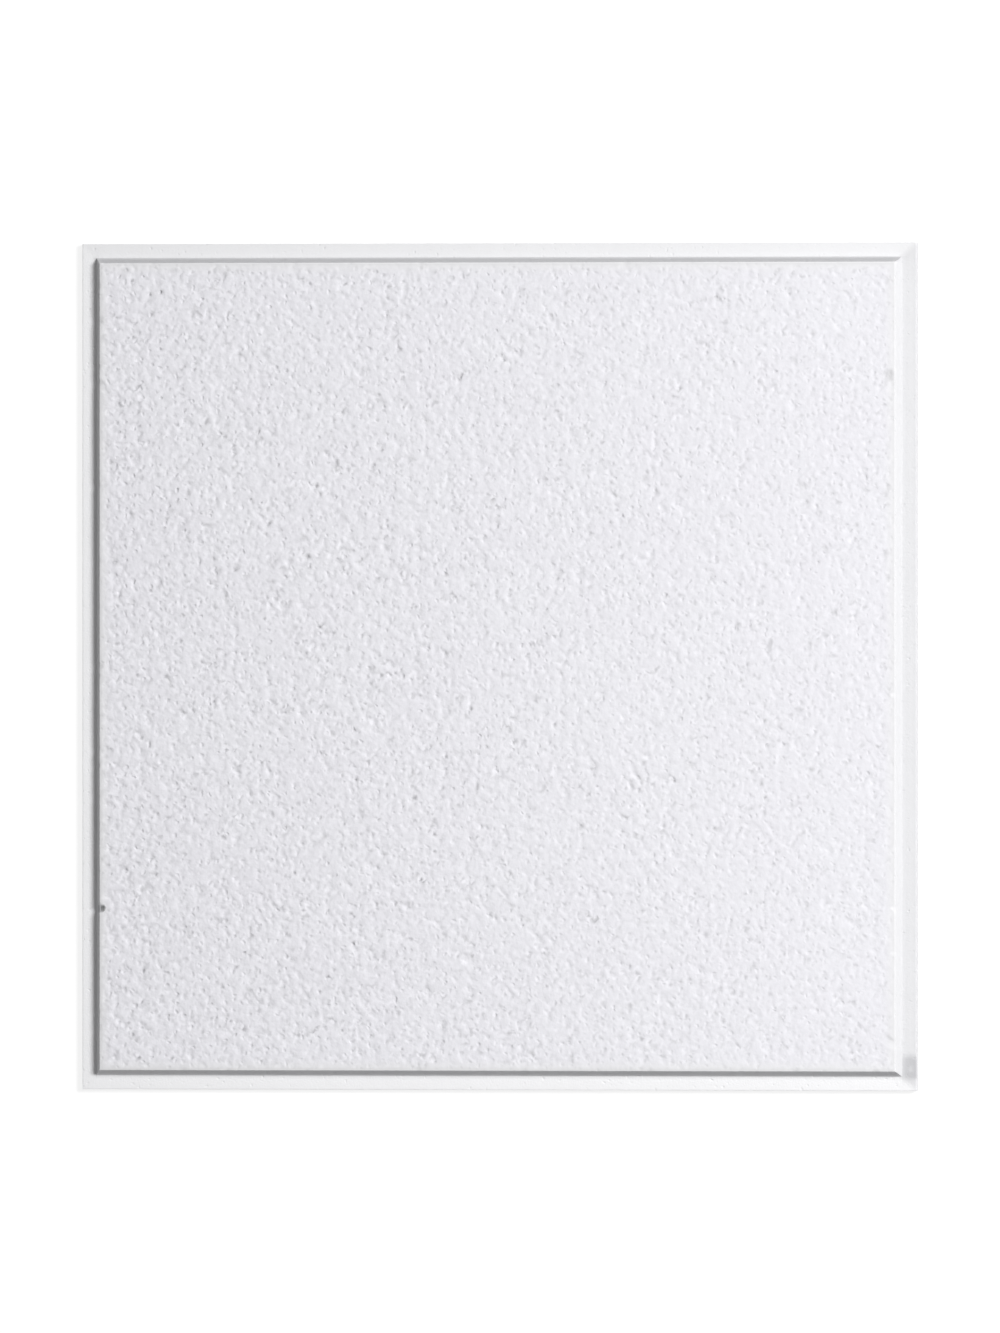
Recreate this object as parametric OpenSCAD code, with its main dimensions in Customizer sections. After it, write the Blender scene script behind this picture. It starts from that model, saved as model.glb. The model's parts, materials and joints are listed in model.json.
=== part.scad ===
// Suspended ceiling tile: one square mineral fibre board with a stepped, angled edge on all four sides.
// It lies on its back with the pitted room side up, and the origin is the centre of the back.
// In use it hangs face down: the ledge rests on the flanges of the grid and the face drops between them.

/* [Ceiling grid] */
// Distance between the centre lines of two tee bars
grid_module = 600; // [300:5:625]
// Width of the tee bar's flange, which carries the ledge
tee_flange = 24; // [15:1:35]
// Play between two neighbouring boards, across the web of the tee bar
board_play = 6; // [3:0.5:8]
// Reveal between the edge of the flange and the foot of the angled wall
flange_reveal = 1; // [0.5:0.25:2]

/* [Board] */
// Thickness of the board, from its back to its face
board_t = 15; // [12:0.5:25]
// Depth of the step, from the face down to the ledge
step_depth = 8; // [5:0.5:10]
// Distance that the angled wall leans in on its way up to the face
wall_run = 3.5; // [1:0.25:5]
// Radius of the soft arris around the face
arris_r = 1.2; // [0.4:0.1:2]

/* [Fissures and pinholes] */
// Plain border of the face, which no fissure or pinhole starts in
face_border = 9; // [5:0.5:40]
// Number of fissures
fissure_count = 130; // [0:10:200]
// Length of the longest fissure
fissure_length = 10; // [5:0.5:14]
// Width of a fissure at its middle
fissure_width = 2; // [1:0.1:3]
// Depth of a fissure
fissure_depth = 1; // [0.4:0.1:2]
// Number of pinholes
pinhole_count = 190; // [0:10:260]
// Width of the widest pinhole
pinhole_width = 3; // [1.5:0.1:5]
// Depth of a pinhole
pinhole_depth = 1.4; // [0.4:0.1:3]

/* [Worn edge] */
// Width of the chip in the left edge of the face
chip_width = 4; // [2:0.5:8]
// Depth of that chip
chip_depth = 2; // [0.5:0.1:3]
// Distance of its middle from the left edge
chip_inset = 1; // [0:0.5:4]
// Distance of its middle from the middle of the left edge
chip_y = -170; // [-200:1:200]
// Width of the dent beside the right edge of the face
dent_width = 7; // [3:0.5:10]
// Depth of that dent
dent_depth = 0.7; // [0.3:0.1:2]
// Distance of its middle from the right edge
dent_inset = 5; // [0:0.5:8]
// Distance of its middle from the middle of the right edge
dent_y = 204; // [-200:1:230]

/* [Hidden] */

// Widths across the board, at the ledge's outer edge, at the wall's foot and at the face
board_w = grid_module - board_play;
foot_w = grid_module - tee_flange - 2 * flange_reveal;
face_w = foot_w - 2 * wall_run;

ledge_t = board_t - step_depth;

// Lean of the wall's outward normal above the horizontal, and the centre of the arris that joins it to the face
wall_lean = atan(wall_run / step_depth);
arris_x = face_w / 2 - arris_r * (1 - sin(wall_lean)) / cos(wall_lean);
arris_z = board_t - arris_r;
arris_steps = 4;

// Steps of an even spread over the face: powers of the real root of p * p * p = p + 1
plastic = 1.3247179572;
spread_x = 1 / plastic;
spread_y = 1 / (plastic * plastic);
spread_turn = (sqrt(5) - 1) / 2;
spread_size = sqrt(2) - 1;
// Largest sideways shift that breaks up the even spread
scatter = 4;

// Outline of a fissure as steps along its spine, and its bend as a share of its length
fissure_steps = 4;
fissure_bend = 0.3;
// Shortest fissure and narrowest pinhole as shares of the largest
least_share = 0.5;
// Sides of a pinhole, and its nearest side as a share of its farthest
pinhole_sides = 6;
pinhole_inner = 0.7;

// Cuts start this far above the face
overcut = 1;

board_colour = [0.90, 0.90, 0.92];

// Part of a number after its decimal point
function fraction(v) = v - floor(v);

// Fixed scatter between -1 and 1 for the given number and stream
function shake(i, stream) = 2 * fraction(i * i * spread_turn + i * stream * spread_size) - 1;

// Share of the largest size that the given pit has
function size_share(i) = least_share + (1 - least_share) * fraction(i * spread_size);

// Place on the face of the given pit
function pit_place(i) =
    let (reach = face_w - 2 * face_border)
    [
        (fraction(0.5 + i * spread_x) - 0.5) * reach + scatter * shake(i, 1),
        (fraction(0.5 + i * spread_y) - 0.5) * reach + scatter * shake(i, 2)
    ];

// One long side of a fissure, from its left end to its right end
function fissure_side(length, bend, half_width) =
    [for (k = [0 : fissure_steps])
        let (t = 2 * k / fissure_steps - 1)
        [t * length / 2, (bend + half_width) * (1 - t * t)]];

// Inner points of a list, from last to first
function inner_back(points) = [for (k = [len(points) - 2 : -1 : 1]) points[k]];

// Bent spindle, widest at its middle and pointed at both ends
function fissure_outline(length, bend) =
    concat(
        fissure_side(length, bend, fissure_width / 2),
        inner_back(fissure_side(length, bend, -fissure_width / 2))
    );

// Uneven polygon that stays inside a circle of the given width
function pinhole_outline(width, i) =
    [for (k = [0 : pinhole_sides - 1])
        let (r = width / 2 * (1 - (1 - pinhole_inner) * fraction((i + k) * spread_turn)))
        [r * cos(k * 360 / pinhole_sides), r * sin(k * 360 / pinhole_sides)]];

// Right half of the board's section, from the back up to the face
section_half = concat(
    [[board_w / 2, 0], [board_w / 2, ledge_t], [foot_w / 2, ledge_t]],
    [for (k = [0 : arris_steps])
        let (a = wall_lean + (90 - wall_lean) * k / arris_steps)
        [arris_x + arris_r * cos(a), arris_z + arris_r * sin(a)]]
);

// The whole section: the right half, then its mirror image from the face down to the back
section = concat(
    section_half,
    [for (k = [len(section_half) - 1 : -1 : 0]) [-section_half[k].x, section_half[k].y]]
);

// Bar with the board's section along Y
module section_bar() {
    rotate([90, 0, 0])
        linear_extrude(height = board_w, center = true)
            polygon(section);
}

// Two crossed bars leave the plate with its ledge, and the raised face with its four walls mitred at the corners
module stepped_board() {
    intersection() {
        section_bar();
        rotate([0, 0, 90]) section_bar();
    }
}

// Cuts the child's outline into the face, to the given depth
module sunk(depth) {
    translate([0, 0, board_t - depth])
        linear_extrude(height = depth + overcut)
            children();
}

module fissures() {
    for (i = [1 : 1 : fissure_count]) {
        length = fissure_length * size_share(i);
        translate(pit_place(i))
            rotate(180 * fraction(i * spread_turn))
                polygon(fissure_outline(length, fissure_bend * length * shake(i, 3)));
    }
}

module pinholes() {
    for (i = [fissure_count + 1 : 1 : fissure_count + pinhole_count]) {
        translate(pit_place(i))
            rotate(360 * fraction(i * spread_turn))
                polygon(pinhole_outline(pinhole_width * size_share(i), i));
    }
}

module tile() {
    color(board_colour)
        difference() {
            stepped_board();
            sunk(fissure_depth) fissures();
            sunk(pinhole_depth) pinholes();
            sunk(chip_depth)
                translate([-face_w / 2 + chip_inset, chip_y])
                    polygon(pinhole_outline(chip_width, 1));
            sunk(dent_depth)
                translate([face_w / 2 - dent_inset, dent_y])
                    polygon(pinhole_outline(dent_width, 2));
        }
}

tile();
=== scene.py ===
"""Dresses the ceiling tile: relief of the face, coat on the edges, bare board behind, and a plain studio."""

import json
import math

import bpy
import numpy as np
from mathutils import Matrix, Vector, noise


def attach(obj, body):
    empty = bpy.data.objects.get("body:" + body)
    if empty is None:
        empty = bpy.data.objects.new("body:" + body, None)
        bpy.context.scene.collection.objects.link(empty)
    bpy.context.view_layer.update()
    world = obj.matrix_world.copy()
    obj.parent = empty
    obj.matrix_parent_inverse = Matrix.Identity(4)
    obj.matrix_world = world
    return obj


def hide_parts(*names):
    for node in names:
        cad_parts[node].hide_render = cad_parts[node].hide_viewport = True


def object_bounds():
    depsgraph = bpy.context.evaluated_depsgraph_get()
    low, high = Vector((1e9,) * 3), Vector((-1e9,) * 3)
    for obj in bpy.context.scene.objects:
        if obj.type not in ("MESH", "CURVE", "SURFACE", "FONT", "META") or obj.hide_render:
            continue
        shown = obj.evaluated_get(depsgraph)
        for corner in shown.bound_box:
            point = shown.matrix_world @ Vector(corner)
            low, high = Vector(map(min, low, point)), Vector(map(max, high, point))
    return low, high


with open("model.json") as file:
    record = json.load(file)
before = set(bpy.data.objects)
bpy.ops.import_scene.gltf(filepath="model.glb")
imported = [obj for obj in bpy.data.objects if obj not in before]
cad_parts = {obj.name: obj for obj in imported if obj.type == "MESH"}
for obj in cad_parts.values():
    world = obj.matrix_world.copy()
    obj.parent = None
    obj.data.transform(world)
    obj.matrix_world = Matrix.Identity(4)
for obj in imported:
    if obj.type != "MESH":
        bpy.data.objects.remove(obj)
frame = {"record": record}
cad_low, cad_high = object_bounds()

MM = 0.001
WHITE = (1, 1, 1, 1)
SEED = 11

# Lean of a level surface's normal above the horizontal
FLAT = math.pi / 2

# The photograph, in pixels: its frame, and the width, height and centre of the face in it
PHOTO_WIDTH = 1000
PHOTO_HEIGHT = 1333
FACE_WIDTH_PIXELS = 796
FACE_HEIGHT_PIXELS = 808.5
FACE_CENTRE_X = 496.5
FACE_CENTRE_Y = 666.6

# Camera: its distance from the face, and the sides of its sensor in millimetres
CAMERA_DISTANCE = 24.0
SENSOR = 36

# Section of the edge, as in the part's source, with its paint rounded at the rim and at the foot of the wall
LEDGE_WIDTH = 10 * MM
WALL_RUN = 3.5 * MM
ARRIS_RADIUS = 1.2 * MM
RIM_RADIUS = 0.25 * MM
FOOT_FILLET = 0.5 * MM

# Distances from the middle and heights in that section, the lean of the wall's normal and the arris's centre
HALF_BOARD = cad_high.x
BOARD_T = cad_high.z
LEDGE_Z = next(m["pos_m"][2] for m in frame["record"]["mounts"] if m["name"] == "grid_ledge")
HALF_FOOT = HALF_BOARD - LEDGE_WIDTH
HALF_FACE = HALF_FOOT - WALL_RUN
WALL_LEAN = math.atan2(WALL_RUN, BOARD_T - LEDGE_Z)
ARRIS_X = HALF_FACE - ARRIS_RADIUS * (1 - math.sin(WALL_LEAN)) / math.cos(WALL_LEAN)

# Rows of the mesh over that section: degrees around the rim, shares of the ledge, how far each row on the
# wall lies in from its foot, and shares of the arris
RIM_ANGLES = (10, 45, 80)
LEDGE_SHARES = (0.08, 0.4, 0.7)
WALL_RUNS = (0.4 * FOOT_FILLET, 0.4 * WALL_RUN, 0.7 * WALL_RUN)
ARRIS_SHARES = (0, 0.33, 0.67, 1)

# The sawn sides have one row of points at SIDE_MIDDLE of their height, which dips by up to SIDE_DIP of its
# distance from the middle, unevenly over SIDE_WAVE
SIDE_MIDDLE = 0.5
SIDE_DIP = 0.0003
SIDE_WAVE = 3 * MM

# Mesh of the face, and the finer grid on which its relief is worked out, with FINE_STEPS steps to a cell and
# FINE_PAD more around the face. The points of the mesh sit on points of that grid, up to FINE_SHIFT steps
# away from their even places.
FACE_CELLS = 284
FINE_STEPS = 4
FINE_PAD = 2
FINE_SHIFT = 1

# Kinds of the mesh's faces, in the order of their materials
FACE_KIND, EDGE_KIND, BACK_KIND = range(3)

# Angle between two faces, in degrees, from which the edge between them is sharp
SHARP_ANGLE = 55

# Larger fissures and pinholes, spread by the same rule as in the part's source, and shallower under paint.
# They start inside FACE_BORDER, have at least LEAST_SHARE of the largest size, and shift by up to SCATTER.
FACE_BORDER = 9 * MM
FISSURE_COUNT = 130
FISSURE_LENGTH = 10 * MM
FISSURE_WIDTH = 2 * MM
FISSURE_DEPTH = 0.45 * MM
FISSURE_BEND = 0.3
PINHOLE_COUNT = 190
PINHOLE_WIDTH = 3 * MM
PINHOLE_DEPTH = 0.5 * MM
LEAST_SHARE = 0.5
SCATTER = 4 * MM

# Steps of that even spread: powers of the real root of p * p * p = p + 1
PLASTIC = 1.3247179572
SPREAD_X = 1 / PLASTIC
SPREAD_Y = 1 / PLASTIC**2
SPREAD_TURN = (math.sqrt(5) - 1) / 2
SPREAD_SIZE = math.sqrt(2) - 1

# Smaller pits, fissures and pricks between them. Their sizes are shares of the largest, from the least share
# up, and the lengths of the fissures are spread around a mean share.
SMALL_PITS = 3000
SMALL_PIT_WIDTH = 3.4 * MM
SMALL_PIT_DEPTH = 0.36 * MM
SMALL_PIT_LEAST = 0.6
SMALL_FISSURES = 700
SMALL_FISSURE_LENGTH = 6 * MM
SMALL_FISSURE_MEAN = 0.7
SMALL_FISSURE_SPREAD = 0.3
SMALL_FISSURE_WIDTH = 1.8 * MM
SMALL_FISSURE_DEPTH = 0.32 * MM
SMALL_FISSURE_BEND = 0.25
PRICKS = 600
PRICK_WIDTH = 2.4 * MM
PRICK_DEPTH = 0.45 * MM
PRICK_LEAST = 0.5

# Form of all these hollows: points along the spine of a fissure, and the power that rounds a hollow's bottom
SPINE_POINTS = 9
HOLLOW_POWER = 1.5

# Grain between the pits: its height, its strongest wave and how far other waves reach around that.
# Its tops are flattened at GRAIN_TOP times its mean height, and some patches of it are rougher than others.
# All relief is a little stronger on the left, by RELIEF_TILT, and weaker on the right.
GRAIN_HEIGHT = 0.177 * MM
GRAIN_WAVE = 4.05 * MM
GRAIN_SPREAD_LONG = 0.6
GRAIN_SPREAD_SHORT = 0.3
GRAIN_TOP = 0.6
GRAIN_SOFTNESS = 0.35
PATCH_WAVE = 26 * MM
PATCH_SPREAD = 0.5
PATCH_CONTRAST = 0.13
RELIEF_TILT = 0.29

# The relief is calmer at the border of the face
BORDER_FADE = 7 * MM
BORDER_RELIEF = 0.35

# Depth of a hollow at which its painted shade and dust are full
SHADE_AND_DUST_DEPTH = 0.75 * MM

# Marks of wear: a chip and a dent in the edge of the face. The chip's colour is far darker than bare board:
# painted shade inside it.
CHIP = {"x": -HALF_FACE + 1 * MM, "y": -170 * MM, "radius": 3 * MM, "depth": 1.6 * MM, "stain": 2.2}
DENT = {"x": HALF_FACE - 5 * MM, "y": 204 * MM, "radius": 4.2 * MM, "depth": 0.5 * MM, "stain": 0.55}

# Small nicks along the edges of the face, in sizes from NICK_LEAST of the largest up
NICKS_A_SIDE = 14
NICK_RADIUS = 3.2 * MM
NICK_DEPTH = 0.55 * MM
NICK_STAIN = 0.3
NICK_LEAST = 0.35

# Unevenness of the coat on the edges: its height and its wave
COAT_RELIEF = 0.06 * MM
COAT_WAVE = 6 * MM

# How much darker the coat is on each side's arris, wall, wall's foot and ledge, from 0, whole, to 1, the
# tone of a thin coat. On the left, bottom and top walls this darkening is painted shade, and on the right it
# is painted shade that tones down the arris, wall and ledge that the key light hits hardest.
# It is THIN_JOIN where the arris joins the face and THIN_RIM on the sawn sides. The arris has its value at
# THIN_ARRIS_X, the ledge from THIN_LEDGE_X on, and the sides blend over COAT_BLEND at the mitres.
SIDES = {"left": (-1, 0), "right": (1, 0), "bottom": (0, -1), "top": (0, 1)}
THIN_COAT_AND_SHADE = {
    "left": (0.1, 0.6, 0.0, 0.0),
    "right": (0.42, 0.57, 0.69, 0.47),
    "bottom": (0.1, 0.8, 0.0, 0.0),
    "top": (0.1, 0.9, 0.2, 0.2)}
THIN_JOIN = 0.22
THIN_RIM = 0.7
THIN_ARRIS_X = HALF_FACE - ARRIS_RADIUS / 4
THIN_LEDGE_X = HALF_FOOT + LEDGE_WIDTH / 2
COAT_BLEND = 6 * MM

# The right ledge is darker at its lower end, with soft ends and unevenly over a wave
LEDGE_PATCH = {"low": -291 * MM, "high": -270 * MM, "fade": 5 * MM, "wave": 5 * MM, "stain": 1.0}

# Values that each point of the mesh carries, as the points of the sawn sides have them: painted shade, dust
# or thin coat, nearness to the border of the face, and strength of the fine relief
SIDE_VALUES = {"stain": THIN_RIM, "plain": 1.0, "rough": BORDER_RELIEF}

# Finest pits, as bump: one cell of a Voronoi pattern holds one pit, whose radius is a share of the cell, and
# cells below a threshold hold none. Drifting noise makes the pattern wobble around its place.
PIT_RADIUS = 0.33
PIT_DRIFT_DETAIL = 1.0
PIT_DRIFT_MEAN = (0.5, 0.5, 0.5)

# Fine lines, as bump: detail of the noise that is drawn out into them
LINE_DETAIL = 2.0

# Paint of the face: whites that it drifts between, white of its border, painted shade and dust for the
# hollows, and grain and pits as bump.
# Here and below, Scale is in waves per metre.
FACE_GLOSS = {"roughness": 0.9, "specular": 0.25}
FACE_WHITES = (0.797, 0.785, 0.8305, 1), (0.807, 0.808, 0.8405, 1)
BORDER_WHITE = (0.80, 0.798, 0.81, 1)
FACE_SHADE_AND_DUST = (0.55, 0.55, 0.56, 1)
FACE_MOTTLE = {"Scale": 22.0, "Detail": 3.0}
FACE_GRAIN = {"Scale": 350.0, "Detail": 2.0, "Roughness": 0.5}
FACE_GRAIN_HEIGHT = 0.3 * MM
FACE_PITS = {"dimensions": "2D", "cell": 6 * MM, "wobble": 4.5 * MM, "threshold": 0.1}
FACE_PIT_DEPTH = 0.36 * MM
# Painted shade, with dust, in the finest pits
FACE_PIT_SHADE_AND_DUST = 0.12

# Coat on the edges: whites, the tone of a thin coat and of painted shade, and grain, lines of the cutter and
# a few pits as bump
EDGE_GLOSS = {"roughness": 0.8, "specular": 0.3}
EDGE_WHITES = (0.865, 0.865, 0.877, 1), (0.895, 0.895, 0.907, 1)
EDGE_THIN_AND_SHADE = (0.525, 0.525, 0.54, 1)
EDGE_MOTTLE = {"Scale": 40.0, "Detail": 3.0}
EDGE_GRAIN = {"Scale": 700.0, "Detail": 3.0}
EDGE_GRAIN_HEIGHT = 0.16 * MM
EDGE_LINES = (25, 25, 1300)
EDGE_LINE_HEIGHT = 0.1 * MM
EDGE_PITS = {"dimensions": "3D", "cell": 4 * MM, "wobble": 3 * MM, "threshold": 0.45}
EDGE_PIT_DEPTH = 0.3 * MM

# Bare back: tones of the fibre, shares of its patterns in them, specks, and fibre, lines of the sander and a
# few pits as bump
BACK_GLOSS = {"roughness": 0.95, "specular": 0.2}
BACK_TONES = (0.36, 0.33, 0.285, 1), (0.88, 0.855, 0.8, 1)
BACK_SPECK = (0.3, 0.28, 0.245, 1)
BACK_FIBRE = {"Scale": 260.0, "Detail": 5.0, "Roughness": 0.7}
BACK_FIBRE_SHARE = 0.4
BACK_FIBRE_HEIGHT = 0.2 * MM
BACK_BLOTCH = {"Scale": 16.0, "Detail": 5.0, "Roughness": 0.6}
BACK_BLOTCH_SHARE = 0.4
BACK_LINES = (420, 6, 1)
BACK_LINE_SHARE = 0.2
BACK_LINE_HEIGHT = 0.08 * MM
BACK_PITS = {"dimensions": "2D", "cell": 5 * MM, "wobble": 4 * MM, "threshold": 0.6}
BACK_PIT_DEPTH = 0.3 * MM
BACK_PIT_STAIN = 0.3

# Floor: half its width, how far it reaches under the tile, its colour as it lights the tile and as it is
# seen, and its glow where it is seen
FLOOR_HALF = 6.0
FLOOR_LAP = 0.2 * MM
FLOOR_GLOSS = {"roughness": 1.0, "specular": 0.0}
FLOOR_COLOUR = (0.8, 0.8, 0.8, 1)
FLOOR_SEEN = (0.25, 0.25, 0.25, 1)
FLOOR_GLOW = 0.83

# Lamps, in metres, watts and degrees: the key stands to the right and a little above in the photograph and
# is aimed past the tile's lower side, so that it lights the face evenly, and a weak one shows the back
KEY_SIZE = 1.6
KEY_POWER = 232
KEY_DISTANCE = 4.4
KEY_AZIMUTH = 19
KEY_ELEVATION = 50
KEY_AIM = (-0.3, -2.8, 0)
UNDER_SIZE = 2.0
UNDER_POWER = 60
UNDER_PLACE = (0.8, -0.8, -3.0)
UNDER_AIM = (0, 0, 0)

# Strength of the even light from all around
FILL = 0.2


def fraction(value):
    """Part of a number after its decimal point."""
    return value - math.floor(value)


def shake(i, stream):
    """Fixed scatter between -1 and 1 for the given pit."""
    return 2 * fraction(i * i * SPREAD_TURN + i * stream * SPREAD_SIZE) - 1


def size_share(i):
    """Share of the largest size that the given pit has."""
    return LEAST_SHARE + (1 - LEAST_SHARE) * fraction(i * SPREAD_SIZE)


def pit_place(i):
    """Place on the face of the given pit."""
    reach = 2 * (HALF_FACE - FACE_BORDER)
    x = (fraction(0.5 + i * SPREAD_X) - 0.5) * reach + SCATTER * shake(i, 1)
    y = (fraction(0.5 + i * SPREAD_Y) - 0.5) * reach + SCATTER * shake(i, 2)
    return x, y


def wear(x, y, mark):
    """Share of a mark's depth at each point."""
    away = np.hypot(x - mark["x"], y - mark["y"]) / mark["radius"]
    return np.clip(1 - away**2, 0, None)


def edge_marks():
    """Marks of wear in the edges of the face: the chip, with painted shade in it, the dent and the nicks."""
    rng = np.random.default_rng(SEED)
    marks = [CHIP, DENT]
    for out_x, out_y in SIDES.values():
        places = rng.uniform(-HALF_FACE, HALF_FACE, NICKS_A_SIDE)
        for along, share in zip(places, rng.uniform(NICK_LEAST, 1, NICKS_A_SIDE)):
            marks.append({
                "x": HALF_FACE * out_x + along * out_y, "y": HALF_FACE * out_y + along * out_x,
                "radius": NICK_RADIUS * share, "depth": NICK_DEPTH * share, "stain": NICK_STAIN})
    return marks


class Relief:
    """Heights of the face on a square grid finer than the mesh."""

    def __init__(self, rng):
        self.pitch = 2 * ARRIS_X / (FACE_CELLS * FINE_STEPS)
        self.low = -ARRIS_X - FINE_PAD * self.pitch
        self.count = FACE_CELLS * FINE_STEPS + 2 * FINE_PAD + 1
        self.line = self.low + self.pitch * np.arange(self.count)
        self.x = self.line[:, None]
        self.y = self.line[None, :]
        gap = ARRIS_X - np.maximum(np.abs(self.x), np.abs(self.y))
        self.border = 1 - np.clip(gap / BORDER_FADE, 0, 1)
        self.strength = (1 - RELIEF_TILT * self.x / HALF_FACE) * (1 - (1 - BORDER_RELIEF) * self.border)
        self.grain = self.make_grain(rng)
        self.hollow = np.zeros((self.count, self.count))
        # Points of this grid that the inner points of the mesh sit on
        steps = FINE_PAD + FINE_STEPS * np.arange(1, FACE_CELLS)
        shift = rng.integers(-FINE_SHIFT, FINE_SHIFT + 1, (2, len(steps), len(steps)))
        self.at = steps[:, None] + shift[0], steps[None, :] + shift[1]

    def waves(self, rng, wave, spread_long, spread_short):
        """Random field, 1 high on average, whose slopes form a bell curve over octaves around a wave."""
        white = np.fft.rfft2(rng.standard_normal((self.count, self.count)))
        kx = np.fft.fftfreq(self.count, self.pitch)[:, None]
        ky = np.fft.rfftfreq(self.count, self.pitch)[None, :]
        k = np.hypot(kx, ky)
        k[0, 0] = 1
        octave = np.log(k * wave)
        width = np.where(octave < 0, spread_long, spread_short)
        gain = np.exp(-((octave / width) ** 2) / 4) / k**2
        gain[0, 0] = 0
        field = np.fft.irfft2(white * gain, s=(self.count, self.count))
        return field / field.std()

    def make_grain(self, rng):
        """Grain with flattened tops, in rougher and calmer patches."""
        grain = self.waves(rng, GRAIN_WAVE, GRAIN_SPREAD_LONG, GRAIN_SPREAD_SHORT)
        grain = -GRAIN_SOFTNESS * np.logaddexp(-grain / GRAIN_SOFTNESS, -GRAIN_TOP / GRAIN_SOFTNESS)
        patches = np.exp(PATCH_CONTRAST * self.waves(rng, PATCH_WAVE, PATCH_SPREAD, PATCH_SPREAD))
        return GRAIN_HEIGHT * patches * (grain - GRAIN_TOP)

    def window(self, x, y, reach):
        """Slices of the grid within reach of a point."""
        spans = []
        for centre in (x, y):
            first = int((centre - reach - self.low) / self.pitch)
            last = math.ceil((centre + reach - self.low) / self.pitch) + 1
            spans.append(slice(max(first, 0), max(min(last, self.count), 0)))
        return tuple(spans)

    def sink(self, spine, half_width, depth):
        """Sinks a groove with a round bottom along the points of spine."""
        spine = np.asarray(spine)
        centre = spine.mean(0)
        reach = np.abs(spine - centre).max() + half_width
        area = self.window(centre[0], centre[1], reach)
        x = self.line[area[0]][:, None, None]
        y = self.line[area[1]][None, :, None]
        away = np.hypot(x - spine[:, 0], y - spine[:, 1]).min(2) / half_width
        dip = depth * np.clip(1 - away**2, 0, None) ** HOLLOW_POWER
        self.hollow[area] = np.maximum(self.hollow[area], dip)

    def sample(self, marks):
        """Places, normals, hollows, nearness to the border and strength at the inner points of the mesh."""
        heights = (self.grain - self.hollow) * self.strength
        for mark in marks:
            heights -= mark["depth"] * wear(self.x, self.y, mark)
        at = self.at
        slope_x, slope_y = (slope[at] for slope in np.gradient(heights, self.pitch))
        leaning = np.stack([-slope_x, -slope_y, np.ones_like(slope_x)], -1)
        return {
            "x": self.line[at[0]], "y": self.line[at[1]], "z": BOARD_T + heights[at],
            "normals": leaning / np.linalg.norm(leaning, axis=-1, keepdims=True),
            "hollow": self.hollow[at], "plain": self.border[at], "rough": self.strength[at]}


def bent_line(x, y, length, bend, turn):
    """Points along a shallow bow of the given length."""
    t = np.linspace(-1, 1, SPINE_POINTS)
    along = t * length / 2
    across = bend * (1 - t * t)
    c, s = math.cos(turn), math.sin(turn)
    return np.stack([x + c * along - s * across, y + s * along + c * across], 1)


def sink_large_pits(relief):
    """Fissures and pinholes where the part's source has them."""
    for i in range(1, FISSURE_COUNT + 1):
        share = size_share(i)
        length = FISSURE_LENGTH * share
        bend = FISSURE_BEND * length * shake(i, 3)
        line = bent_line(*pit_place(i), length, bend, math.pi * fraction(i * SPREAD_TURN))
        relief.sink(line, FISSURE_WIDTH / 2, FISSURE_DEPTH * share)
    for i in range(FISSURE_COUNT + 1, FISSURE_COUNT + PINHOLE_COUNT + 1):
        share = size_share(i)
        relief.sink([pit_place(i)], PINHOLE_WIDTH / 2 * share, PINHOLE_DEPTH * share)


def sink_small_pits(relief, rng):
    """Round pits and short fissures by chance."""
    reach = HALF_FACE - FACE_BORDER / 2
    for x, y, share in rng.uniform(-1, 1, (SMALL_PITS, 3)):
        size = SMALL_PIT_LEAST + (1 - SMALL_PIT_LEAST) * share**2
        relief.sink([(x * reach, y * reach)], SMALL_PIT_WIDTH / 2 * size, SMALL_PIT_DEPTH * size)
    for x, y, share, bow, turn in rng.uniform(-1, 1, (SMALL_FISSURES, 5)):
        length = SMALL_FISSURE_LENGTH * (SMALL_FISSURE_MEAN + SMALL_FISSURE_SPREAD * share)
        bend = SMALL_FISSURE_BEND * length * bow
        line = bent_line(x * reach, y * reach, length, bend, math.pi * turn)
        relief.sink(line, SMALL_FISSURE_WIDTH / 2, SMALL_FISSURE_DEPTH)


def sink_pricks(relief, rng):
    """Fine pinholes, each under a point of the mesh."""
    rows, columns = relief.at
    chosen = rng.choice(rows.size, PRICKS, replace=False)
    for place, share in zip(chosen, rng.uniform(PRICK_LEAST, 1, PRICKS)):
        centre = relief.line[rows.flat[place]], relief.line[columns.flat[place]]
        relief.sink([centre], PRICK_WIDTH / 2, PRICK_DEPTH * share)


def face_relief(marks):
    """Relief of the face with all its pits and marks, at the inner points of the mesh."""
    rng = np.random.default_rng(SEED)
    relief = Relief(rng)
    sink_large_pits(relief)
    sink_small_pits(relief, rng)
    sink_pricks(relief, rng)
    return relief.sample(marks)


def edge_section():
    """(distance from the middle, height, lean of the normal) from the rim to the edge of the face."""
    rows = []
    for angle in RIM_ANGLES:
        a = math.radians(angle)
        x = HALF_BOARD - RIM_RADIUS * (1 - math.cos(a))
        rows.append((x, LEDGE_Z - RIM_RADIUS * (1 - math.sin(a)), a))
    for share in LEDGE_SHARES:
        rows.append((HALF_BOARD - LEDGE_WIDTH * share, LEDGE_Z, FLAT))
    rows.append((HALF_FOOT + FOOT_FILLET, LEDGE_Z, FLAT))
    slope = math.tan(FLAT - WALL_LEAN)
    for run in WALL_RUNS:
        rows.append((HALF_FOOT - run, LEDGE_Z + run * slope, WALL_LEAN))
    for share in ARRIS_SHARES:
        a = WALL_LEAN + (FLAT - WALL_LEAN) * share
        x = ARRIS_X + ARRIS_RADIUS * math.cos(a)
        rows.append((x, BOARD_T - ARRIS_RADIUS * (1 - math.sin(a)), a))
    return np.array(rows)


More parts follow.
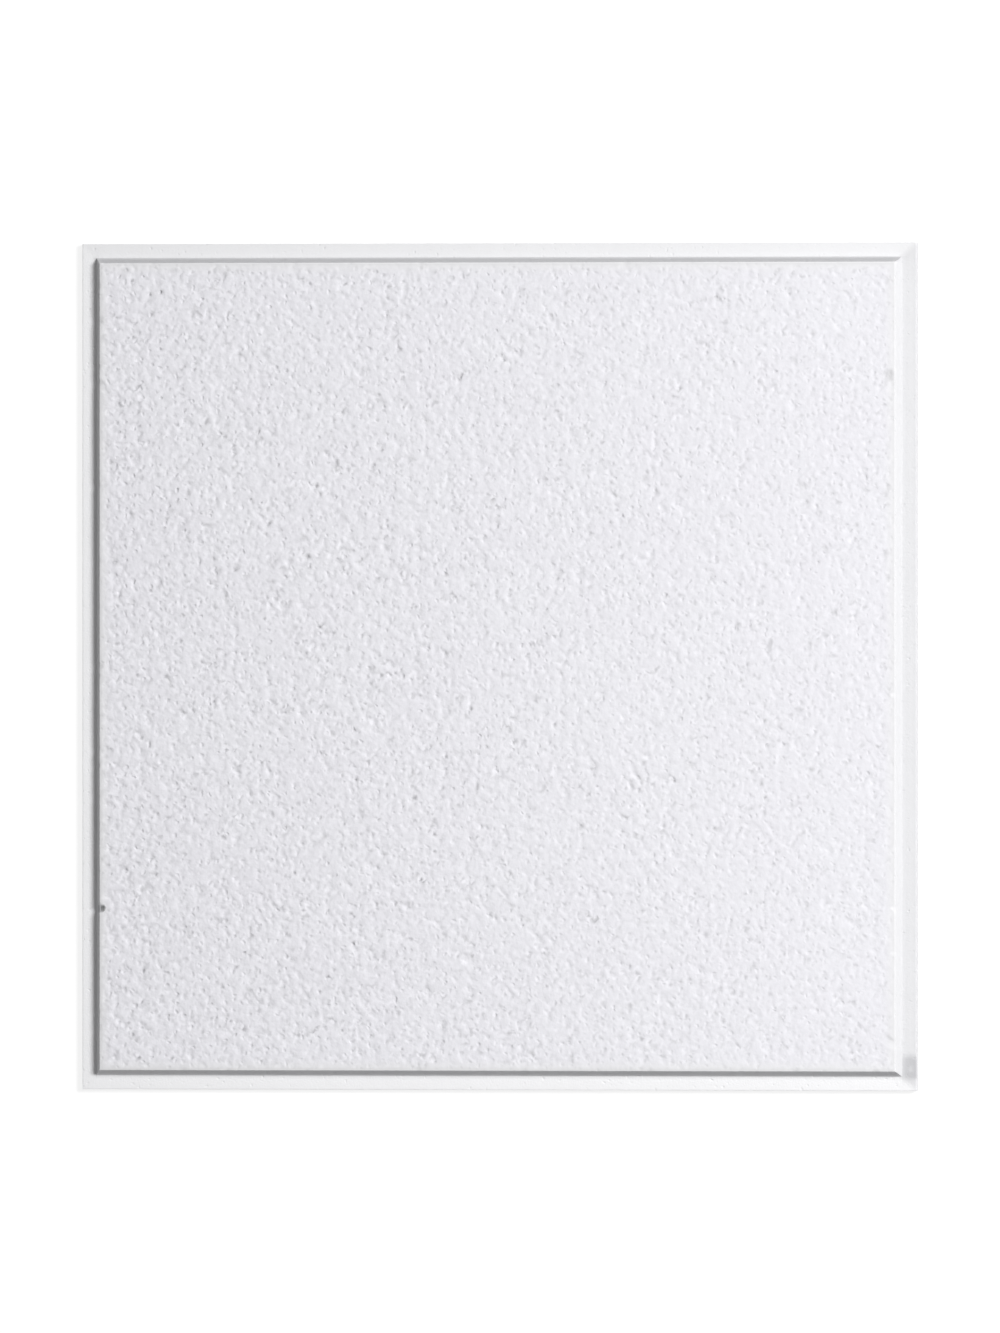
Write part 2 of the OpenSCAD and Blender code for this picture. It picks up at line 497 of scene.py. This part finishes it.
def grid_lines(section):
    """Place, height and lean of each grid line along one axis, from side to side."""
    flat = np.linspace(-ARRIS_X, ARRIS_X, FACE_CELLS + 1)[1:-1]
    place = np.concatenate([-section[:, 0], flat, section[::-1, 0]])
    height = np.concatenate([section[:, 1], np.full(len(flat), BOARD_T), section[::-1, 1]])
    lean = np.concatenate([section[:, 2], np.full(len(flat), FLAT), section[::-1, 2]])
    return place, height, lean


def coat_noise(points, wave):
    """Smooth noise between -1 and 1 at each point, with the given wave."""
    return np.array([noise.noise(Vector(p) / wave) for p in points])


def coated_grid(section, inner):
    """Grid of points over the room side, with an uneven coat on all of them but the inner ones."""
    place, height, lean = grid_lines(section)
    x, y = np.meshgrid(place, place, indexing="ij")
    height_x, height_y = np.meshgrid(height, height, indexing="ij")
    lean_x, lean_y = np.meshgrid(lean, lean, indexing="ij")
    z = np.minimum(height_x, height_y)
    edge = np.ones_like(z, bool)
    edge[inner, inner] = False
    # The coat stands along the normal of the side that is lower there, or of both sides at a mitre
    normal_lean = np.where(height_x < height_y, lean_x, lean_y)[edge]
    on_x = (height_x <= height_y)[edge]
    on_y = (height_y <= height_x)[edge]
    push = COAT_RELIEF * coat_noise(np.stack([x[edge], y[edge], z[edge]], 1), COAT_WAVE)
    x[edge] += push * np.cos(normal_lean) * on_x * np.sign(x[edge])
    y[edge] += push * np.cos(normal_lean) * on_y * np.sign(y[edge])
    z[edge] += push * np.sin(normal_lean)
    return x, y, z


def darken_ledge_end(thin_and_shade, x, y):
    """Darkens the lower end of the right ledge, unevenly and with soft ends."""
    patched = (x > HALF_FOOT) & (y > LEDGE_PATCH["low"]) & (y < LEDGE_PATCH["high"])
    uneven = coat_noise(np.stack([x[patched], y[patched], 0 * x[patched]], 1), LEDGE_PATCH["wave"])
    inside = np.minimum(y[patched] - LEDGE_PATCH["low"], LEDGE_PATCH["high"] - y[patched]) / LEDGE_PATCH["fade"]
    share = np.clip(inside * (1 + uneven), 0, 1)
    thin_and_shade[patched] += share * (LEDGE_PATCH["stain"] - thin_and_shade[patched])


def coat_and_shade(x, y):
    """How much darker the coat is at each point outside the face, from thin coat and painted shade."""
    bends = (
        ARRIS_X, THIN_ARRIS_X, HALF_FACE, HALF_FOOT - FOOT_FILLET, HALF_FOOT + FOOT_FILLET, THIN_LEDGE_X)
    thin_and_shade = np.zeros_like(x)
    for side, (out_x, out_y) in SIDES.items():
        out = x * out_x + y * out_y
        along = x * out_y + y * out_x
        share = np.clip(0.5 + (out - np.abs(along)) / COAT_BLEND, 0, 1)
        # Each side's values carry its painted shade as well as its thin coat
        arris, wall, foot, ledge = THIN_COAT_AND_SHADE[side]
        thin_and_shade += share * np.interp(out, bends, (THIN_JOIN, arris, wall, wall, foot, ledge))
    darken_ledge_end(thin_and_shade, x, y)
    outside = np.maximum(np.abs(x), np.abs(y)) > HALF_FACE - ARRIS_RADIUS
    return thin_and_shade * outside


def tile_top(section):
    """Places, normals and marks of a grid of points over the room side. Only inner points get normals."""
    inner = slice(len(section), -len(section))
    x, y, z = coated_grid(section, inner)
    stain = coat_and_shade(x, y)
    marks = edge_marks()
    for mark in marks:
        worn = wear(x, y, mark)
        z -= mark["depth"] * worn
        stain = np.maximum(stain, mark["stain"] * np.sqrt(worn))
    top = {
        "x": x, "y": y, "z": z, "normals": np.zeros((*z.shape, 3)), "hollow": np.zeros_like(z),
        "plain": np.ones_like(z), "rough": np.full_like(z, BORDER_RELIEF)}
    for name, values in face_relief(marks).items():
        top[name][inner, inner] = values
    # Painted shade, with dust, darkens the face's hollows by their depth
    top["stain"] = np.maximum(stain, np.clip(top["hollow"] / SHADE_AND_DUST_DEPTH, 0, 1))
    return top


def split_cells(z, border):
    """Two triangles for each cell of the grid, their kinds, and the points around the grid's rim."""
    count = len(z)
    index = np.arange(count * count).reshape(count, count)
    # Corners of each cell, in turn
    a, b, c, d = index[:-1, :-1], index[1:, :-1], index[1:, 1:], index[:-1, 1:]
    cells = np.arange(count - 1)
    low = cells < border - 1
    at_edge = low | (cells >= count - border)
    # Cells are split along the mitres at the corners, and elsewhere along the flatter diagonal
    corner = at_edge[:, None] & at_edge[None, :]
    flatter = np.abs(z.flat[a] - z.flat[c]) <= np.abs(z.flat[b] - z.flat[d])
    along_ac = np.where(corner, low[:, None] == low[None, :], flatter)[..., None]
    one = np.where(along_ac, np.stack([a, b, c], -1), np.stack([a, b, d], -1))
    two = np.where(along_ac, np.stack([a, c, d], -1), np.stack([b, c, d], -1))
    triangles = np.concatenate([one.reshape(-1, 3), two.reshape(-1, 3)])
    kinds = np.where(at_edge[:, None] | at_edge[None, :], EDGE_KIND, FACE_KIND).ravel()
    ring = np.concatenate([index[:-1, 0], index[-1, :-1], index[:0:-1, -1], index[0, :0:-1]])
    return triangles, np.concatenate([kinds, kinds]), ring


def close_board(points, ring):
    """Points of the sawn sides below the rim, the faces of these sides in two rows, and that of the back."""
    middle = points[ring] * (1, 1, SIDE_MIDDLE)
    middle[:, :2] *= 1 - SIDE_DIP * (1 + coat_noise(middle, SIDE_WAVE))[:, None] / 2
    bottom = points[ring] * (1, 1, 0)
    middle_row = len(points) + np.arange(len(ring))
    bottom_row = middle_row + len(ring)
    sides = []
    for upper, lower in ((ring, middle_row), (middle_row, bottom_row)):
        sides += np.stack([upper, lower, np.roll(lower, -1), np.roll(upper, -1)], 1).tolist()
    return np.concatenate([middle, bottom]), sides, bottom_row[::-1].tolist()


def use_normals(mesh, normals):
    """Gives the points that have a normal in the list that normal, and leaves the others as they are."""
    corners = np.empty(len(mesh.loops) * 3, np.float32)
    mesh.corner_normals.foreach_get("vector", corners)
    corners = corners.reshape(-1, 3)
    point = np.empty(len(mesh.loops), np.int32)
    mesh.loops.foreach_get("vertex_index", point)
    given = normals.any(1)[point]
    corners[given] = normals[point[given]]
    mesh.normals_split_custom_set(corners)


def make_tile(materials):
    """The whole board, which rides on the root and stands for the CAD's tile."""
    section = edge_section()
    top = tile_top(section)
    points = np.stack([top["x"], top["y"], top["z"]], -1).reshape(-1, 3)
    triangles, kinds, ring = split_cells(top["z"], len(section))
    added, sides, back = close_board(points, ring)
    faces = [*triangles.tolist(), *sides, back]
    kinds = [*kinds.tolist(), *[EDGE_KIND] * len(sides), BACK_KIND]

    mesh = bpy.data.meshes.new("tile_board")
    mesh.from_pydata(np.concatenate([points, added]).tolist(), [], faces)
    for material in materials:
        mesh.materials.append(material)
    mesh.polygons.foreach_set("material_index", kinds)
    mesh.polygons.foreach_set("use_smooth", [True] * len(faces))
    mesh.set_sharp_from_angle(angle=math.radians(SHARP_ANGLE))
    for name, side_value in SIDE_VALUES.items():
        values = np.concatenate([top[name].ravel(), np.full(len(added), side_value)])
        mesh.attributes.new(name, "FLOAT", "POINT").data.foreach_set("value", values)
    mesh.validate()
    use_normals(mesh, np.concatenate([top["normals"].reshape(-1, 3), np.zeros_like(added)]))

    tile = bpy.data.objects.new("tile_board", mesh)
    bpy.context.collection.objects.link(tile)
    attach(tile, "root")
    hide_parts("tile")


def new_material(name, roughness, specular):
    """New material with its nodes and its shader."""
    material = bpy.data.materials.new(name)
    material.use_nodes = True
    tree = material.node_tree
    shader = tree.nodes["Principled BSDF"]
    shader.inputs["Roughness"].default_value = roughness
    shader.inputs["Specular IOR Level"].default_value = specular
    return material, tree, shader


def add(tree, kind, settings=None, **inputs):
    """New node with its settings and inputs. An input goes by its name or, as _0, by its number."""
    node = tree.nodes.new(kind)
    for key, value in (settings or {}).items():
        setattr(node, key, value)
    for key, value in inputs.items():
        socket = node.inputs[int(key[1:])] if key[0] == "_" else node.inputs[key]
        if isinstance(value, bpy.types.NodeSocket):
            tree.links.new(value, socket)
        else:
            socket.default_value = value
    return node


def mix(tree, share, first, second, clamp=True):
    """Colour between the first and the second, by share, or beyond the second where that isn't clamped."""
    settings = {"data_type": "RGBA", "clamp_factor": clamp}
    return add(tree, "ShaderNodeMix", settings, Factor=share, _6=first, _7=second).outputs[2]


def combine(tree, operation, *values):
    """Result of an operation on values or other nodes' outputs."""
    inputs = {f"_{i}": value for i, value in enumerate(values)}
    return add(tree, "ShaderNodeMath", {"operation": operation}, **inputs).outputs[0]


def weighted_sum(tree, *terms):
    """Sum of patterns, each times its own weight."""
    total = 0.0
    for pattern, weight in terms:
        total = combine(tree, "MULTIPLY_ADD", pattern, weight, total)
    return total


def bump_height(tree, *terms):
    """Sum of patterns, each times its own height, in millimetres."""
    return weighted_sum(tree, *((pattern, height / MM) for pattern, height in terms))


def finish_surface(tree, shader, colour, height):
    """Gives a shader its colour and, as bump, its height in millimetres."""
    bump = add(tree, "ShaderNodeBump", Strength=1.0, Distance=MM, Height=height)
    tree.links.new(colour, shader.inputs["Base Color"])
    tree.links.new(bump.outputs["Normal"], shader.inputs["Normal"])


def board_place(tree):
    """Place of a point of the surface, in metres."""
    return add(tree, "ShaderNodeTexCoord").outputs["Object"]


def attribute(tree, name):
    """Value that the points of the mesh carry under a name."""
    return add(tree, "ShaderNodeAttribute", {"attribute_name": name}).outputs["Fac"]


def noise_share(tree, where, **inputs):
    """Noise between 0 and 1."""
    return add(tree, "ShaderNodeTexNoise", Vector=where, **inputs).outputs["Fac"]


def fine_lines(tree, where, waves):
    """Noise drawn out into lines by its waves per metre along each axis."""
    along = add(tree, "ShaderNodeVectorMath", {"operation": "MULTIPLY"}, _0=where, _1=waves).outputs[0]
    return noise_share(tree, along, Scale=1.0, Detail=LINE_DETAIL)


def fine_pits(tree, where, dimensions, cell, wobble, threshold):
    """Share of the depth of the finest pits: uneven in outline, and deep, shallow or missing by chance."""
    drift = add(tree, "ShaderNodeTexNoise", Vector=where, Scale=1 / cell, Detail=PIT_DRIFT_DETAIL)
    shift = add(tree, "ShaderNodeVectorMath", {"operation": "SUBTRACT"},
                _0=drift.outputs["Color"], _1=PIT_DRIFT_MEAN).outputs[0]
    place = add(tree, "ShaderNodeVectorMath", {"operation": "MULTIPLY_ADD"},
                _0=shift, _1=(wobble, wobble, wobble), _2=where).outputs[0]
    cells = add(tree, "ShaderNodeTexVoronoi", {"voronoi_dimensions": dimensions},
                Vector=place, Scale=1 / cell)
    chance = add(tree, "ShaderNodeSeparateColor", _0=cells.outputs["Color"]).outputs[0]
    depth = add(tree, "ShaderNodeMapRange", _0=chance, _1=threshold, _2=1.0).outputs[0]
    bowl = add(tree, "ShaderNodeMapRange", {"interpolation_type": "SMOOTHSTEP"},
               _0=cells.outputs["Distance"], _1=0.0, _2=PIT_RADIUS, _3=1.0, _4=0.0).outputs[0]
    return combine(tree, "MULTIPLY", bowl, depth)


def face_paint():
    """Paint of the face, calmer at its border, with painted shade and dust in the pits and hollows."""
    material, tree, shader = new_material("face_paint", **FACE_GLOSS)
    where = board_place(tree)
    grain = noise_share(tree, where, **FACE_GRAIN)
    pits = fine_pits(tree, where, **FACE_PITS)
    white = mix(tree, noise_share(tree, where, **FACE_MOTTLE), *FACE_WHITES)
    calm = mix(tree, attribute(tree, "plain"), white, BORDER_WHITE)
    # Painted shade and dust in the hollows and finest pits darken the paint
    shade_and_dust = combine(tree, "MULTIPLY_ADD", pits, FACE_PIT_SHADE_AND_DUST, attribute(tree, "stain"))
    colour = mix(tree, shade_and_dust, calm, FACE_SHADE_AND_DUST, clamp=False)
    height = bump_height(tree, (grain, FACE_GRAIN_HEIGHT), (pits, -FACE_PIT_DEPTH))
    height = combine(tree, "MULTIPLY", height, attribute(tree, "rough"))
    finish_surface(tree, shader, colour, height)
    return material


def edge_paint():
    """Coat on the arris, wall, ledge and sawn sides, darker where it is thin and where shade is painted on.
    """
    material, tree, shader = new_material("edge_paint", **EDGE_GLOSS)
    where = board_place(tree)
    grain = noise_share(tree, where, **EDGE_GRAIN)
    lines = fine_lines(tree, where, EDGE_LINES)
    pits = fine_pits(tree, where, **EDGE_PITS)
    white = mix(tree, noise_share(tree, where, **EDGE_MOTTLE), *EDGE_WHITES)
    # Painted shade and thin coat darken the coat towards the tone of a thin coat
    colour = mix(tree, attribute(tree, "stain"), white, EDGE_THIN_AND_SHADE)
    height = bump_height(
        tree, (grain, EDGE_GRAIN_HEIGHT), (lines, EDGE_LINE_HEIGHT), (pits, -EDGE_PIT_DEPTH))
    finish_surface(tree, shader, colour, height)
    return material


def bare_board():
    """Bare fibre of the back, sanded in lines, with small dark specks in its pits."""
    material, tree, shader = new_material("bare_board", **BACK_GLOSS)
    where = board_place(tree)
    fibre = noise_share(tree, where, **BACK_FIBRE)
    blotch = noise_share(tree, where, **BACK_BLOTCH)
    lines = fine_lines(tree, where, BACK_LINES)
    pits = fine_pits(tree, where, **BACK_PITS)
    share = weighted_sum(
        tree, (fibre, BACK_FIBRE_SHARE), (blotch, BACK_BLOTCH_SHARE), (lines, BACK_LINE_SHARE))
    tone = mix(tree, share, *BACK_TONES)
    colour = mix(tree, combine(tree, "MULTIPLY", pits, BACK_PIT_STAIN), tone, BACK_SPECK)
    height = bump_height(
        tree, (fibre, BACK_FIBRE_HEIGHT), (lines, BACK_LINE_HEIGHT), (pits, -BACK_PIT_DEPTH))
    finish_surface(tree, shader, colour, height)
    return material


def seen(tree):
    """1 for a ray from the camera, straight or by way of a shiny or clear surface."""
    path = add(tree, "ShaderNodeLightPath")
    share = path.outputs["Is Camera Ray"]
    for ray in ("Is Glossy Ray", "Is Transmission Ray"):
        share = combine(tree, "MAXIMUM", share, path.outputs[ray])
    return share


def floor_paint():
    """White with pale shadows from above, and clear from below."""
    material, tree, shader = new_material("floor", **FLOOR_GLOSS)
    share = seen(tree)
    shader.inputs["Emission Color"].default_value = WHITE
    tree.links.new(combine(tree, "MULTIPLY", share, FLOOR_GLOW), shader.inputs["Emission Strength"])
    tree.links.new(mix(tree, share, FLOOR_COLOUR, FLOOR_SEEN), shader.inputs["Base Color"])
    below = add(tree, "ShaderNodeNewGeometry").outputs["Backfacing"]
    clear = add(tree, "ShaderNodeBsdfTransparent").outputs[0]
    both = add(tree, "ShaderNodeMixShader", _0=below, _1=shader.outputs[0], _2=clear)
    tree.links.new(both.outputs[0], tree.nodes["Material Output"].inputs["Surface"])
    return material


def make_floor():
    """Flat frame around the tile, open under it."""
    corners = ((-1, -1), (1, -1), (1, 1), (-1, 1))
    points = [(x * half, y * half, 0) for half in (FLOOR_HALF, HALF_BOARD - FLOOR_LAP) for x, y in corners]
    count = len(corners)
    faces = [(i, (i + 1) % count, (i + 1) % count + count, i + count) for i in range(count)]
    mesh = bpy.data.meshes.new("floor")
    mesh.from_pydata(points, [], faces)
    mesh.materials.append(floor_paint())
    floor = bpy.data.objects.new("floor", mesh)
    bpy.context.collection.objects.link(floor)


def direction(azimuth, elevation):
    """Unit vector at an angle from +X around Z and an angle above the floor, in degrees."""
    a, e = math.radians(azimuth), math.radians(elevation)
    return Vector((math.cos(a) * math.cos(e), math.sin(a) * math.cos(e), math.sin(e)))


def disk_lamp(name, size, power, place, aim):
    """Soft round lamp at a place, turned to its aim."""
    light = bpy.data.lights.new(name, "AREA")
    light.shape = "DISK"
    light.size = size
    light.energy = power
    lamp = bpy.data.objects.new(name, light)
    lamp.location = place
    lamp.rotation_euler = (lamp.location - Vector(aim)).to_track_quat("Z", "Y").to_euler()
    bpy.context.collection.objects.link(lamp)


def make_light():
    """Two lamps, and a world that lights the tile a little and looks white."""
    key_place = KEY_DISTANCE * direction(KEY_AZIMUTH, KEY_ELEVATION)
    disk_lamp("key", KEY_SIZE, KEY_POWER, key_place, KEY_AIM)
    disk_lamp("under", UNDER_SIZE, UNDER_POWER, UNDER_PLACE, UNDER_AIM)
    world = bpy.data.worlds.new("studio")
    bpy.context.scene.world = world
    world.use_nodes = True
    tree = world.node_tree
    background = tree.nodes["Background"]
    background.inputs["Color"].default_value = WHITE
    strength = add(tree, "ShaderNodeMix", Factor=seen(tree), _2=FILL, _3=1.0)
    tree.links.new(strength.outputs[0], background.inputs["Strength"])


def make_camera():
    """Far camera above the face, turned to the right until the face is as narrow as in the photograph."""
    scale = 2 * HALF_FACE / FACE_HEIGHT_PIXELS
    turn = math.acos(FACE_WIDTH_PIXELS / FACE_HEIGHT_PIXELS)
    lens = bpy.data.cameras.new("camera")
    lens.sensor_fit = "VERTICAL"
    lens.sensor_height = SENSOR
    lens.sensor_width = SENSOR
    lens.lens = SENSOR * CAMERA_DISTANCE / (PHOTO_HEIGHT * scale)
    lens.clip_end = 2 * CAMERA_DISTANCE
    camera = bpy.data.objects.new("camera", lens)
    right = Vector((math.cos(turn), 0, -math.sin(turn)))
    back = Vector((math.sin(turn), 0, math.cos(turn)))
    up = Vector((0, 1, 0))
    camera.rotation_euler = (0, turn, 0)
    camera.location = (
        Vector((0, 0, BOARD_T)) + CAMERA_DISTANCE * back
        + (PHOTO_WIDTH / 2 - FACE_CENTRE_X) * scale * right
        + (FACE_CENTRE_Y - PHOTO_HEIGHT / 2) * scale * up)
    bpy.context.collection.objects.link(camera)
    bpy.context.scene.camera = camera


make_camera()
make_tile([face_paint(), edge_paint(), bare_board()])
make_floor()
make_light()
bpy.context.scene.view_settings.view_transform = "Standard"
